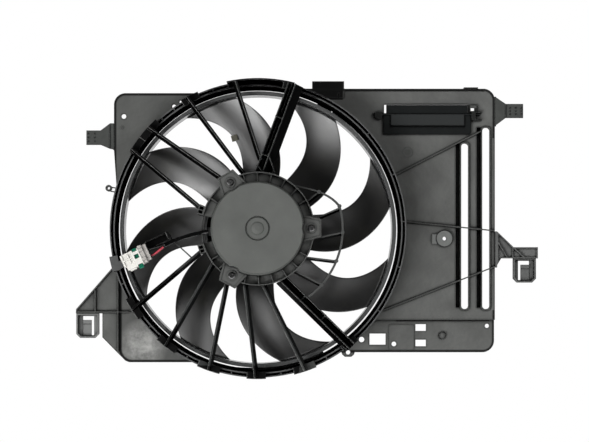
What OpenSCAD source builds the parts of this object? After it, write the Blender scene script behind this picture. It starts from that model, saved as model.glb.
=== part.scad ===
// Engine cooling fan with its shroud. The fan axis runs along Y through the origin, the radiator side faces
// +Y with its face plane at Y = 0, and the engine side faces -Y. Z is up. Depths below are distances in front
// of the radiator face plane, towards the engine.

/* [Shroud] */
// Inner radius of the barrel round the fan
barrel_r = 213.5; // [195:0.5:260]
// Wall of the barrel and its outer rail
barrel_wall = 2.5; // [2:0.1:3.5]
// Depth of the barrel from the radiator face
barrel_depth = 55; // [50:1:66]
// Reach of the left panels beyond the barrel's inner radius
reach_left = 6.7; // [4:0.5:40]
// Reach of the right panel beyond the barrel's inner radius
reach_right = 146.9; // [140:1:190]
// Thickness of the panels
panel_t = 2.5; // [2:0.1:3.5]
// Depth of the panels' front faces
panel_depth = 13; // [11:0.5:16]

/* [Motor] */
// Radius of the motor can
can_r = 62; // [52:1:75]
// Radius of the shaft
shaft_r = 4; // [3.4:0.1:4.8]
// Depth of the motor cap's front face
cap_depth = 100; // [97:1:120]

/* [Fan] */
// Number of blades
blade_count = 8; // [6:1:9]
// Thickness of a blade at its middle
blade_t = 2.6; // [2:0.1:3.2]
// Running gap between the fan ring's lip and the barrel
tip_gap = 5.5; // [3.5:0.5:8]

/* [Air flap] */
// Length of the flap's lower leaf
flap_len = 132; // [110:1:140]
// Height of the flap's lower leaf below its pivot
flap_drop = 30.5; // [25:0.5:36]
// Radius of the flap's pivot rod
flap_pin_r = 2; // [1.6:0.1:2.5]

/* [Fits] */
// Radial clearance of a turning fit
running = 0.05; // [0.03:0.01:0.08]
// Gap between pieces that are seated but not fixed
seat = 0.2; // [0.1:0.05:0.3]

/* [Hidden] */
$fn = 96;

// How far the barrel has grown from its drawn size; everything outside it moves with its wall
grow = barrel_r - 213.5;
barrel_out = barrel_r + barrel_wall;
rail_in = barrel_out + 4.8;
rail_out = rail_in + 1.9;
foot_out = rail_out + 1.8;
panel_back = panel_depth - panel_t;
panel_hole = barrel_out + seat;
flange_hole = barrel_out + 7.5 + seat;
lip_t = 2;
lip_back = 1;

// Motor and carrier sizes that follow the can
cap_r = can_r + 7.3;
carrier_out = can_r + 22.5;
carrier_wall = 1.7;
ear_r = can_r + 17.5;
ear_angles = [0.5, 120.7, 241];
flange_front = 80;
floor_front = 76.5;
rim_front = 86;
spoke_back = barrel_depth + 0.3;
spoke_front = spoke_back + 16.7;
foot_front = spoke_back + 8;
screw_r = 2.4;

// Fan sizes
lip_r = barrel_r - tip_gap;
ring_wall = 2.5;
ring_in = lip_r - 3.5 - ring_wall;
fan_back = 9.5;
fan_front = barrel_depth - 8.5;
hub_out = can_r + 17.5;
hub_wall = 2.5;
hub_in = hub_out - hub_wall;

// Sets a flat outline between two depths in front of the radiator face
module slab(t0, t1) {
    rotate([90, 0, 0])
        translate([0, 0, t0])
            linear_extrude(height = t1 - t0)
                children();
}

// Turns a profile of radius and depth about the fan axis; a full turn starts where nothing crosses it
module turned(a0 = 52, sweep = 360) {
    rotate([90, 0, 0])
        rotate([0, 0, a0])
            rotate_extrude(angle = sweep)
                children();
}

// A sector of a ring between two radii and two depths
module sector(r0, r1, t0, t1, a0, a1) {
    turned(a0, a1 - a0)
        translate([r0, t0])
            square([r1 - r0, t1 - t0]);
}

// A full ring between two radii and two depths
module ring(r0, r1, t0, t1) {
    turned()
        translate([r0, t0])
            square([r1 - r0, t1 - t0]);
}

function polar(r, a) = [r * cos(a), r * sin(a)];

// Places a section of across and depth along the straight line from p to q, both given as across and up
module along(p, q) {
    d = q - p;
    translate([p[0], 0, p[1]])
        rotate([0, -atan2(d[1], d[0]), 0])
            rotate([180, -90, 0])
                linear_extrude(height = norm(d))
                    children();
}

// A plain upright rib from p to q
module rib(p, q, t0, t1, w = 1.8) {
    along(p, q)
        translate([-w / 2, t0])
            square([w, t1 - t0]);
}

// A rectangle given by its corners
module box2d(x0, z0, x1, z1) {
    translate([x0, z0])
        square([x1 - x0, z1 - z0]);
}

// A rectangle with its corners rounded: upper left, upper right, lower right, lower left
module soft_box(x0, z0, x1, z1, r = [0, 0, 0, 0]) {
    corners = [[x0, z1, 1, -1], [x1, z1, -1, -1], [x1, z0, -1, 1], [x0, z0, 1, 1]];
    difference() {
        box2d(x0, z0, x1, z1);
        for (i = [0:3])
            if (r[i] > 0)
                translate([corners[i][0], corners[i][1]])
                    scale([corners[i][2], corners[i][3]])
                        difference() {
                            translate([-1, -1])
                                square(r[i] + 1);
                            translate([r[i], r[i]])
                                circle(r[i]);
                        }
    }
}

// A wall of lip_t that follows an outline's inside, from the panel back towards the radiator
module edge_lip(t1 = panel_back) {
    slab(lip_back, t1)
        difference() {
            children();
            offset(delta = -lip_t)
                children();
            circle(panel_hole);
        }
}

// Barrel: the ring round the fan, with a double front rail, a seat flange and a tall crown at the top
crown = [75.9, 102];
crown_out = barrel_out + 10.3;
rail_floor = 30;
rear_lip = [-150, 58];
lip_wide = [-104, -62];
lip_stop = [58.5, 65];
rail_struts = [3, 22, 41, 326, 345, 196.5, 202, 222, 241, 259.5, 279, 298, 125, 131, 108];

module barrel_ring() {
    color("#18191a") {
        turned()
            polygon([[barrel_r, 1], [barrel_out, 1], [barrel_out, panel_depth],
                [barrel_out + 7.5, panel_depth], [barrel_out + 7.5, panel_depth + 2.2],
                [barrel_out, panel_depth + 2.2], [barrel_out, barrel_depth - 4],
                [barrel_out + 1.2, barrel_depth - 0.7], [barrel_out + 0.7, barrel_depth],
                [barrel_r + 1.6, barrel_depth], [barrel_r + 1.1, barrel_depth - 0.6],
                [barrel_r, barrel_depth - 4]]);
        turned(crown[1], 360 - (crown[1] - crown[0]))
            polygon([[barrel_out - 0.5, rail_floor], [rail_out, rail_floor],
                [rail_out, barrel_depth - 1], [rail_in, barrel_depth - 1],
                [rail_in, rail_floor + 2], [barrel_out - 0.5, rail_floor + 2]]);
        for (a = rail_struts)
            rotate([0, -a, 0])
                translate([barrel_out - 0.5, -(barrel_depth - 2), -0.75])
                    cube([rail_in - barrel_out + 1, barrel_depth - 3 - rail_floor, 1.5]);
        turned(crown[0], crown[1] - crown[0])
            polygon([[barrel_out - 0.5, rail_floor - 10], [crown_out, rail_floor - 10],
                [crown_out, barrel_depth + 5], [crown_out - 2.2, barrel_depth + 5],
                [crown_out - 2.2, rail_floor - 8], [barrel_out - 0.5, rail_floor - 8]]);
        for (a = [crown[0], crown[1] - 0.5]) {
            sector(barrel_out - 0.5, crown_out - 1, rail_floor - 9, barrel_depth - 3, a, a + 0.5);
            sector(barrel_out + 2, crown_out - 1, rail_floor - 9, barrel_depth, a, a + 0.5);
        }
        turned(rear_lip[0], rear_lip[1] - rear_lip[0])
            polygon([[barrel_r - 1.4, 2.8], [barrel_out - 1, 2.4], [barrel_out - 1, 6.2], [barrel_r - 1.4, 5.7]]);
        difference() {
            wide_lip(lip_wide);
            slab(2, 7)
                translate(polar(14.5, -164))
                    circle(lip_r - 1.75);
        }
        wide_lip(lip_stop);
    }
}

// A stretch of the rear lip that reaches under the fan's ring
module wide_lip(a) {
    turned(a[0], a[1] - a[0])
        polygon([[lip_r - 1.5, 3], [barrel_out - 1.2, 2.6], [barrel_out - 1.2, 6], [lip_r - 1.5, 5.4]]);
}

// Left corner panels: flat webs outside the barrel with a rolled edge towards the radiator
left_x = -(barrel_r + reach_left);
upper_z = barrel_r - 4.9;
upper_end = 56 + grow * 0.4;
lower_z = -(barrel_r - 12);

module upper_left_outline() {
    difference() {
        soft_box(left_x, upper_end, -50, upper_z, [17.5, 0, 0, 0]);
        polygon([[left_x - 1, upper_end - 1], [left_x + 4.7, upper_end - 1], [left_x, tongue_z - 19],
            [left_x - 1, tongue_z - 19]]);
    }
}

module corner_panel_upper_left() {
    color("#3a3c3d") {
        slab(panel_back, panel_depth)
            difference() {
                upper_left_outline();
                circle(panel_hole);
                translate([left_x + 15.1, upper_z - 35.5])
                    circle(3.6);
                translate([left_x + 91.6, upper_z - 20.2])
                    circle(2.9);
                translate([left_x + 102.4, upper_z - 13.4])
                    circle(2.4);
            }
        edge_lip()
            upper_left_outline();
        slab(panel_depth - 0.5, panel_depth + 0.8)
            translate([left_x + 12.6, upper_z - 52.4])
                circle(2.2);
        difference() {
            union() {
                slab(panel_back - 4, panel_depth + 1)
                    translate([left_x - 8, upper_end + 7.8])
                        circle(5);
                for (dz = [4.4, 10.6])
                    rib([left_x - 6, upper_end + dz - 1], [left_x + 6, upper_end + dz - 3.2],
                        panel_back - 4, panel_depth, 1.6);
            }
            slab(panel_back - 5, panel_depth + 2)
                translate([left_x - 8, upper_end + 7.8])
                    circle(2);
        }
    }
}

// Points of the lower left corner, from the barrel out to the bracket and round the bottom
gusset_z = -122.7 - grow * 0.6;
function lower_left_points() = [[left_x + 8, gusset_z + 72], [left_x - 0.5, gusset_z + 66.3],
    [left_x - 58, gusset_z], [left_x - 58, gusset_z - 4.4], [left_x - 17.7, gusset_z - 4.4],
    [left_x - 17.7, lower_z + 37.9], [left_x + 5.6, lower_z + 14.1], [left_x + 17.2, lower_z + 2.5],
    [left_x + 23, lower_z], [-80, lower_z], [-80, lower_z + 60], [left_x + 40, gusset_z + 50]];

module corner_panel_lower_left() {
    color("#3a3c3d") {
        slab(panel_back, panel_depth)
            difference() {
                polygon(lower_left_points());
                circle(panel_hole);
            }
        edge_lip()
            polygon(lower_left_points());
        difference() {
            union() {
                rib([left_x - 57, gusset_z - 2.2], [left_x + 24, gusset_z - 2.2], panel_depth - 0.1,
                    panel_depth + 4, 2);
                rib([left_x - 28.4, gusset_z - 2.2], [left_x - 28.4, gusset_z + 31], panel_depth - 0.1,
                    panel_depth + 4, 2);
                rib([left_x + 6.1, lower_z + 16], [left_x + 6.1, gusset_z + 58], panel_depth - 0.1,
                    panel_depth + 4, 2);
                rib([left_x - 57, gusset_z + 1], [left_x - 1.5, gusset_z + 64.6], panel_depth - 0.1,
                    panel_depth + 4, 2);
            }
            slab(panel_depth - 1, panel_depth + 5)
                circle(flange_hole);
        }
    }
}

// A clip pocket that hooks on the radiator: walled frame, back plate and a springy latch tongue
clip_w = 34.5;
clip_h = 37.4;
clip_wall = 2.6;

module clip_pocket() {
    slab(3, panel_depth)
        difference() {
            pocket_outline(0);
            pocket_outline(clip_wall);
        }
    slab(3, 5.5)
        difference() {
            pocket_outline(1);
            box2d(9.5, -33.4, 26.4, -4.2);
        }
    slab(4, 6.5)
        box2d(9.5, -34, 22.8, -10);
    slab(6.4, 8)
        box2d(9.5, -16, 22.8, -10);
}

module pocket_outline(inset) {
    cut = 6;
    polygon([[inset, -inset], [clip_w - inset, -inset], [clip_w - inset, -clip_h + cut + inset / 2],
        [clip_w - cut - inset / 2, -clip_h + inset], [cut + inset / 2, -clip_h + inset],
        [inset, -clip_h + cut + inset / 2]]);
}

module lower_left_clip() {
    color("#3a3c3d")
        translate([left_x - 57.5, 0, gusset_z - 4.4 - seat / 2])
            clip_pocket();
}

// Flat tongues at the upper corners that drop into the radiator's side rails
tongue_z = upper_z - 67.8;

module grip_dimples(x0, z0, nx, nz, dx, dz) {
    for (i = [0:nx - 1], k = [0:nz - 1])
        translate([x0 + i * dx, -panel_depth + 1, z0 + k * dz])
            rotate([90, 0, 0])
                cylinder(h = 1.7, r = 1.1, $fn = 24);
}

module upper_left_tongue() {
    color("#3a3c3d")
        translate([left_x - seat / 2, 0, tongue_z]) {
            slab(panel_back - 1, panel_depth)
                polygon([[0, 21.9], [-5.9, 21.9], [-20.3, 11], [-42, 11], [-42, -11], [-20.3, -11],
                    [-6.2, -17], [0, -18]]);
            slab(lip_back, panel_back)
                box2d(-2, -18, 0, 21.9);
            rib([-6.2, 20], [-6.2, -16], panel_depth - 0.2, panel_depth + 1, 1.4);
            grip_dimples(-38.8, -5.6, 2, 3, 9.8, 5.8);
        }
}

right_x = barrel_r + reach_right;
top_z = barrel_r + 2;
right_tongue_z = top_z - 34;

module upper_right_tongue() {
    color("#3a3c3d")
        translate([right_x + seat / 2, 0, right_tongue_z]) {
            slab(panel_back - 1, panel_depth)
                polygon([[0, 22], [16.5, 10.7], [43, 10.7], [43, -10.7], [16.5, -10.7], [0, -23]]);
            slab(lip_back, panel_back)
                box2d(0, -23, 2, 22);
            rib([16.5, 10.5], [16.5, -10.5], panel_depth - 0.2, panel_depth + 1, 1.4);
            grip_dimples(22.9, -4.9, 3, 3, 8.8, 4.8);
        }
}

// Right panel: a long flat web with two tall slots, an air flap window and a set-back lower flange
step_z = -(barrel_r - 76.5);
foot_z = -(barrel_r - 26.9);
flange_depth = 6.5;
slot_a = [right_x - 51.5, right_x - 40.9];
slot_b = [right_x - 19.5, right_x - 8.5];
slot_foot = step_z + 16.6;
slot_a_top = top_z - 83.9;
slot_b_top = top_z - 59.9;
flap_x = [right_x - 169.2, right_x - 169.2 + flap_len];
flap_z = top_z - 39.6;
flap_t = panel_depth + 2.5;
window = [flap_x[0] + 0.4, flap_z - flap_drop + 4, flap_x[1] - 4.6, flap_z + 15];
loop_hole = [flap_x[1] - 0.1, flap_z + 5.3, flap_x[1] + 5.5, flap_z + 9.9];
knob_r = 5.8;
bowl = [7.8, 1.5];
bowl_r = (bowl[0] * bowl[0] + bowl[1] * bowl[1]) / (2 * bowl[1]);
plug_at = [right_x - 77.2, -13.1];
plug_hole_r = 8.5;

module right_outline() {
    soft_box(40, step_z, right_x, top_z, [0, 18, 0, 0]);
}

module flange_outline() {
    soft_box(100, foot_z, right_x - 0.5, step_z + lip_t, [0, 0, 18, 0]);
    translate([right_x - 223.5, foot_z - 1])
        polygon([[-12, 6], [-9, -2.5], [-5, -6], [5, -6], [9, -2.5], [12, 6]]);
}

module slot2d(x, top, grow_by = 0) {
    soft_box(x[0] - grow_by, slot_foot - grow_by, x[1] + grow_by, top + grow_by, [5, 5, 5, 5]);
}

module trough2d(x, top) {
    box2d(x[0] - 8.2, slot_foot + 2, x[0] - 1.9, top + 1);
}

module trough(x, top) {
    slab(lip_back + 1, panel_back)
        difference() {
            box2d(x[0] - 9.7, slot_foot + 0.5, x[0] - 0.4, top + 2.5);
            trough2d(x, top);
        }
    slab(lip_back, lip_back + 1.5)
        box2d(x[0] - 9.7, slot_foot + 0.5, x[0] - 0.4, top + 2.5);
}

module flap_bearing(x0, x1) {
    difference() {
        slab(panel_depth - 0.1, flap_t + 4)
            children();
        translate([x0 - 1, -flap_t, flap_z])
            rotate([0, 90, 0])
                cylinder(h = x1 - x0 + 2, r = flap_pin_r + running);
    }
}

module right_panel() {
    rib_a = [[right_x - 152.9, 83.4 + grow * 0.4], [right_x - 21.3, slot_b_top - 5.1]];
    rib_b = [[right_x - 135.2, 12.7], [right_x - 0.5, -1.2]];
    rib_c = [[right_x - 170.5, step_z + 14.6], [right_x - 0.5, step_z + 81.2]];
    hook_x = [right_x - 278.4, right_x - 229.9];
    color("#3a3c3d") {
        difference() {
            union() {
                slab(panel_back, panel_depth)
                    difference() {
                        right_outline();
                        circle(panel_hole);
                        slot2d(slot_a, slot_a_top);
                        slot2d(slot_b, slot_b_top);
                        trough2d(slot_a, slot_a_top);
                        trough2d(slot_b, slot_b_top);
                        box2d(window[0], window[1], window[2], window[3]);
                        box2d(loop_hole[0], loop_hole[1], loop_hole[2], loop_hole[3]);
                        translate(plug_at)
                            circle(plug_hole_r);
                    }
                slab(flange_depth - panel_t, flange_depth)
                    difference() {
                        flange_outline();
                        circle(panel_hole);
                    }
                slab(flange_depth - 0.1, panel_depth)
                    difference() {
                        box2d(100, step_z, right_x - 0.5, step_z + lip_t);
                        circle(panel_hole);
                    }
                edge_lip()
                    difference() {
                        right_outline();
                        box2d(39, step_z - 1, right_x - lip_t, step_z + 4);
                    }
                edge_lip(flange_depth - panel_t + 0.1)
                    flange_outline();
                slab(flange_depth - 0.1, flange_depth + 0.8)
                    soft_box(right_x - 161.8, foot_z + 3.2, right_x - 122.4, foot_z + 42.5, [4, 4, 4, 4]);
            }
            for (h = [[-202.8, 19.4, 4.1], [-153.5, 12.7, 3.6], [-11.4, 40.3, 3.2], [-223.5, -0.2, 3.3]])
                translate([right_x + h[0], 0, foot_z + h[1]])
                    rotate([90, 0, 0])
                        cylinder(h = panel_depth, r = h[2]);
            slab(0, panel_depth) {
                box2d(right_x - 190.7, foot_z + 11.6, right_x - 166.2, foot_z + 28.5);
                box2d(right_x - 120.5, foot_z + 32.6, right_x - 104.6, foot_z + 42.9);
                box2d(right_x - 120.5, foot_z + 9.2, right_x - 104.6, foot_z + 19.1);
            }
            translate([right_x - 132.7, -(panel_depth - bowl[1] + bowl_r), top_z - 97])
                sphere(bowl_r);
            slab(flange_depth - 1.3, flange_depth + 1)
                box2d(right_x - 150, step_z - 1.8, right_x - 8, step_z + 0.2);
            along([hook_x[1] + 1, top_z], [right_x - 17, top_z])
                polygon([[-3.8, panel_depth], [1, panel_depth - 2.1], [1, panel_depth + 1], [-3.8, panel_depth + 1]]);
        }
        for (s = [[slot_a, slot_a_top], [slot_b, slot_b_top]]) {
            slab(panel_depth - 0.1, panel_depth + 2.5)
                difference() {
                    slot2d(s[0], s[1], 1.8);
                    slot2d(s[0], s[1]);
                }
            trough(s[0], s[1]);
        }
        difference() {
            for (r = [rib_a, rib_b, rib_c])
                rib(r[0], r[1], panel_depth - 1, panel_depth + 4);
            slab(panel_depth - 2, panel_depth + 5)
                circle(flange_hole);
        }
        flap_bearing(flap_x[0] - 17, flap_x[0] - 1)
            translate([flap_x[0] - 8.5, flap_z - 1.6])
                circle(knob_r);
        flap_bearing(flap_x[1], flap_x[1] + 9)
            box2d(flap_x[1] + 1.2, flap_z - 9.2, flap_x[1] + 7, flap_z + 3.5);
        for (dz = [2.9, -8.6])
            rib([flap_x[1] + 6.5, flap_z + dz], [flap_x[1] + 16.5, flap_z + dz], panel_depth - 0.1, flap_t + 3, 1.2);
        slab(panel_depth - 0.1, panel_depth + 3)
            difference() {
                box2d(flap_x[1] - 1.3, flap_z + 4.2, flap_x[1] + 9.7, flap_z + 14.1);
                box2d(loop_hole[0], loop_hole[1], loop_hole[2], loop_hole[3]);
            }
        translate([right_x - 80, -(flange_depth - 3), foot_z + 25.8])
            rotate([90, 0, 0])
                cylinder(h = 7, r1 = 6, r2 = 4.5);
        slab(lip_back, panel_depth + 2)
            difference() {
                box2d(hook_x[0], top_z - 14.2, hook_x[1], top_z + 11);
                circle(flange_hole);
                box2d(hook_x[1] - 9.2, top_z - 14.3, hook_x[1] - 7.5, top_z - 7);
            }
        slab(lip_back, panel_depth)
            box2d(right_x - 47, top_z - 1, right_x - 25.6, top_z + 2);
    }
}

// Bracket on the right edge: ribbed arm and box that carry the second clip pocket
bracket_z = -2.2;

module right_bracket() {
    color("#3a3c3d")
        translate([right_x + seat, 0, bracket_z]) {
            slab(lip_back, panel_depth + 3)
                box2d(0, -55, 3, 0);
            slab(panel_back - 2, panel_depth)
                polygon([[2.9, 0], [28, -24], [65, -24], [65, -41.1], [9, -41.1], [2.9, -51.5]]);
            slab(panel_depth - 0.1, panel_depth + 3)
                difference() {
                    polygon([[2.9, 0], [28, -24], [65, -24], [65, -41.1], [9, -41.1], [2.9, -51.5]]);
                    polygon([[4.9, -4.2], [25.8, -24.6], [25.8, -39.2], [10, -39.2], [4.9, -47.5]]);
                    box2d(27.8, -39.2, 63, -26);
                }
            rib([28.5, -25], [44.5, -40], panel_depth - 0.1, panel_depth + 3, 2);
            rib([3, -14], [18, -39], panel_depth - 0.1, panel_depth + 3, 1.6);
            translate([28 + clip_w, 0, -40.6])
                mirror([1, 0, 0])
                    clip_pocket();
        }
}

// Carrier: ring, recessed floor, radial ribs and three ears that hold the motor
carrier_ribs = [30.5, 45.5, 60.5, 75.5, 90.5, 105, 147, 214, 226, 256, 271, 286, 301, 316, 331];
notch = [166, 195.3];

module ear2d(inset = 0, inner = cap_r + 1.5) {
    tip = ear_r + 15.8 - inset;
    half = 8 - inset * 0.6;
    root = 16.5 - inset * 0.8;
    polygon([polar(inner, root), polar(tip, half), polar(tip, -half), polar(inner, -root)]);
}

// Turns a child to each of the three ears
module at_ears() {
    for (a = ear_angles)
        rotate([0, -a, 0])
            children();
}

module motor_carrier() {
    color("#2c2e2f") {
        difference() {
            union() {
                ring(carrier_out - carrier_wall, carrier_out, spoke_back - 1, rim_front);
                ring(cap_r + 0.7, carrier_out - 0.5, floor_front - 2.5, floor_front);
                at_ears() {
                    slab(flange_front + 3, rim_front + 1)
                        difference() {
                            ear2d();
                            circle(cap_r + 0.7);
                        }
                    slab(flange_front + 3, rim_front + 1)
                        translate([ear_r, 0])
                            circle(12.8);
                    slab(spoke_back - 0.6, flange_front + 3.5)
                        difference() {
                            ear2d();
                            ear2d(1.7);
                            circle(carrier_out - 0.6);
                        }
                    slab(flange_front + seat, flange_front + 3.5)
                        translate([ear_r, 0])
                            circle(6.5);
                }
                for (a = [notch[0] - 9, notch[1] - 1])
                    sector(carrier_out - 0.5, carrier_out + 8.4, spoke_back, rim_front - 0.4, a, a + 10);
            }
            sector(cap_r - 3, carrier_out + 12, floor_front - 12, rim_front + 2, notch[0], notch[1]);
            for (a = [notch[0] - 7.6, notch[1] + 1.4])
                for (da = [0, 3.8])
                    sector(carrier_out + 1, carrier_out + 7, spoke_back + 4, rim_front + 2, a + da,
                        a + da + 2.9);
            at_ears()
                slab(flange_front - 1, rim_front + 3)
                    translate([ear_r, 0])
                        circle(screw_r + 0.4);
            at_ears()
                slab(rim_front + 0.1, rim_front + 3)
                    difference() {
                        ear2d(2.2, cap_r - 1);
                        translate([ear_r, 0])
                            circle(7.8);
                    }
            at_ears()
                slab(floor_front - 3, flange_front + seat)
                    box2d(ear_r - 12, -8, ear_r + 8, 8);
        }
        for (a = carrier_ribs)
            rotate([0, -a, 0])
                translate([cap_r + 1.5, -(rim_front - 1), -0.75])
                    cube([carrier_out - cap_r - 2.2, rim_front - floor_front, 1.5]);
    }
}

// Thin spokes: leaning ribs with a front bead, each with a foot hooked over the barrel's rail
// Each row holds the angle at the rim, the angle and radius at the carrier, and the foot's two angles
spoke_rows = [[118.1, 102, 0, 113.75, 121], [136.9, 124.4, 9, 133, 142.2], [147.5, 159, 8.6, 142.4, 148.75],
    [212.5, 200.5, 8.6, 208, 217], [231.6, 216, 0, 227.5, 236], [250.6, 238.8, 10, 246, 255],
    [269, 255, 0, 265.6, 273], [288.3, 274, 0, 284, 293]];
spoke_lean = 4.5;

module spoke_section(lean = spoke_lean) {
    back = spoke_back + 0.5;
    polygon([[-1.6, spoke_front], [-1.6, spoke_front - 2.4], [lean - 1, back + 1],
        [lean - 0.8, back], [lean + 0.8, back], [lean + 1, back + 1],
        [1.6, spoke_front - 2.4], [1.6, spoke_front]]);
}

module spoke_foot(a0, a1) {
    sector(barrel_r + 0.3, foot_out, spoke_back, foot_front, a0, a1);
    sector(rail_out + 0.3, foot_out, 40, spoke_back + 0.1, a0, a1);
}

function spoke_line(i) = [polar(carrier_out + spoke_rows[i][2] - 3, spoke_rows[i][1]),
    polar(foot_out - 0.6, spoke_rows[i][0])];

module stator_spokes() {
    color("#1d1e1f")
        for (i = [0:len(spoke_rows) - 1]) {
            s = spoke_rows[i];
            difference() {
                along(spoke_line(i)[0], spoke_line(i)[1])
                    spoke_section();
                ring(0.1, carrier_out + s[2] + seat, spoke_back - 1, spoke_front + 1);
                at_ears()
                    slab(spoke_back - 1, spoke_front + 1)
                        ear2d(-seat);
            }
            spoke_foot(s[3], s[4]);
        }
}

// Channel arms: troughs with two raised rims, a low middle rib and one slanting flank
arm_floor = spoke_back + 3;

module arm_section(flank) {
    back = spoke_back + 0.4;
    front = spoke_front + 1;
    polygon([[6.2, front], [4.3, front], [4.3, arm_floor], [0.7, arm_floor], [0.7, front - 8],
        [-0.7, front - 8], [-0.7, arm_floor], [-4.3, arm_floor], [-4.3, front], [-6.2, front],
        [-6.4, front - 6], [-6.2 - flank, back + 2], [-6.2 - flank, back], [6.2, back]]);
}

upper_arm = [polar(carrier_out - 2.5, 89.5), polar(crown_out - 2, 76.7)];
lower_arm = [polar(carrier_out - 3.5, 296.4), polar(crown_out - 1, 308.8)];

module arm_ties(p, q, places) {
    d = (q - p) / norm(q - p);
    side = [-d[1], d[0]];
    for (s = places) {
        m = p + d * s;
        rib(m - side * 5, m + side * 5, arm_floor - 0.5, spoke_front - 2, 2);
        translate([m[0] + side[0] * 4.9, -(spoke_front - 3.3), m[1] + side[1] * 4.9])
            rotate([90, 0, 0])
                cylinder(h = 5, r = 1.7, $fn = 24);
    }
}

module arm_foot(a0, a1, back = 40) {
    sector(barrel_r + 0.3, crown_out - 2.5, spoke_back, foot_front - 1, a0, a1);
    if (back < spoke_back)
        sector(rail_out + 0.3, foot_out, back, spoke_back + 0.1, a0, a1);
}

module upper_channel_arm() {
    color("#1d1e1f") {
        difference() {
            union() {
                along(upper_arm[0], upper_arm[1])
                    arm_section(11);
                arm_ties(upper_arm[0], upper_arm[1], [30, 90]);
                along(polar(carrier_out + 19, 87), polar(crown_out - 2.6, 98.5))
                    spoke_section();
                rib(polar(carrier_out + 28.5, 82), polar(carrier_out - 2, 70.5), spoke_back, spoke_front, 2);
                rib(polar(carrier_out + 12, 91), polar(carrier_out - 2, 83.5), spoke_back, spoke_front, 2);
            }
            ring(0.1, carrier_out + seat, spoke_back - 1, spoke_front + 3);
            ring(crown_out - 2.4, crown_out + 20, spoke_back - 1, spoke_front + 3);
        }
        arm_foot(74.2, 80.2, spoke_back);
    }
}

module lower_channel_arm() {
    color("#1d1e1f") {
        difference() {
            union() {
                along(lower_arm[0], lower_arm[1])
                    arm_section(6.4);
                arm_ties(lower_arm[0], lower_arm[1], [44, 86]);
            }
            ring(0.1, carrier_out + seat, spoke_back - 1, spoke_front + 3);
            ring(crown_out - 0.6, crown_out + 20, spoke_back - 1, spoke_front + 3);
        }
        arm_foot(305, 312);
    }
}

// Guard rib: a thin wall round the motor's right side that spirals in to the carrier
guard_r = carrier_out + 42;
guard_start = -54.5;
guard_turn = 15.6;
guard_end = 54;
guard_half = 1.6;
function guard_in(u) = (sin(90 * u) + (1 - cos(180 * u)) / 2) / 2;
function guard_path(a) = guard_r - (guard_r - carrier_out) * guard_in((a - guard_turn) / (guard_end - guard_turn));
guard_angles = [for (i = [0:12]) guard_turn + (guard_end - guard_turn) * i / 12];

module guard_section(lean = 3.2) {
    front = spoke_front - 0.8;
    back = spoke_back + 2;
    polygon([[-1.1, front], [-1.1, front - 2], [lean - 0.8, back + 1], [lean - 0.8, back], [lean + 0.8, back],
        [lean + 0.8, back + 1], [1.1, front - 2], [1.1, front]]);
}

module guard_rib() {
    color("#1d1e1f")
        difference() {
            union() {
                sector(guard_r - guard_half, guard_r + guard_half, spoke_back + 4, spoke_front, guard_start,
                    guard_turn);
                slab(spoke_back + 4, spoke_front)
                    polygon(concat([for (a = guard_angles) polar(guard_path(a) + guard_half, a)],
                        [for (i = [12:-1:0]) polar(guard_path(guard_angles[i]) - guard_half, guard_angles[i])]));
                for (a = [-41.2, -22.2, -2.5, guard_turn, 31.3])
                    slab(spoke_back + 6, spoke_front + 1)
                        translate(polar(a > guard_turn ? guard_path(a) : guard_r, a))
                            circle(2.9, $fn = 24);
                for (g = [[14.4, 11, 12], [31.3, 28.8, 0], [-41.2, -49, 0], [-22.2, -31, 0], [-2.5, -8, 11]])
                    along(polar(g[0] > guard_turn ? guard_path(g[0]) : guard_r, g[0]),
                        polar(carrier_out + g[2] - 3, g[1]))
                        guard_section();
            }
            ring(0.1, carrier_out + seat, spoke_back - 1, spoke_front + 2);
            at_ears()
                slab(spoke_back - 1, spoke_front + 2)
                    ear2d(-seat);
            along(lower_arm[0], lower_arm[1])
                translate([-13, spoke_back - 1])
                    square([19.7 + seat, 30]);
        }
}

// Air flap: a two-leaf door on a pivot rod; the upper leaf passes through the window as it opens
module air_flap() {
    leaf_back = panel_depth + 1.4;
    color("#1b1c1d") {
        for (x = [flap_x[0], flap_x[1] - 3.5])
            slab(panel_depth + 0.3, leaf_back + 0.1)
                box2d(x, flap_z - flap_drop + 0.5, x + 3, flap_z - flap_drop + 3.5);
        difference() {
            slab(leaf_back, leaf_back + 2)
                soft_box(flap_x[0] - 1, flap_z - flap_drop, flap_x[1] + 0.5, flap_z + 0.5, [0, 0, 3, 0]);
            slab(leaf_back + 0.8, leaf_back + 3)
                difference() {
                    box2d(flap_x[0] + 9.2, flap_z - 19.9, flap_x[1] - 8.7, flap_z - 3);
                    box2d(flap_x[0] + 10.3, flap_z - 17, flap_x[1] - 9.8, flap_z);
                }
        }
        slab(leaf_back, leaf_back + 2)
            box2d(flap_x[0] + 3.4, flap_z, flap_x[1] - 5.2, flap_z + 14.3);
        slab(leaf_back + 1.9, leaf_back + 3.6)
            box2d(flap_x[0] + 10.3, flap_z - 17, flap_x[1] - 9.8, flap_z);
        translate([flap_x[0] - 16, -flap_t, flap_z])
            rotate([0, 90, 0])
                cylinder(h = flap_len + 30, r = flap_pin_r);
    }
}

// Round plug with a centre hole, snapped in the right panel
module round_plug() {
    color("#2b2d2e")
        translate([plug_at[0], 0, plug_at[1]]) {
            turned()
                polygon([[3, panel_back - 3], [plug_hole_r - 0.3, panel_back - 3],
                    [plug_hole_r - 0.3, panel_depth + seat], [12.8, panel_depth + seat],
                    [12.8, panel_depth + 4], [12, panel_depth + 5], [3, panel_depth + 5]]);
            slab(panel_depth + seat, panel_depth + 3)
                box2d(-19, -8.5, -11, 7);
        }
}

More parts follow.
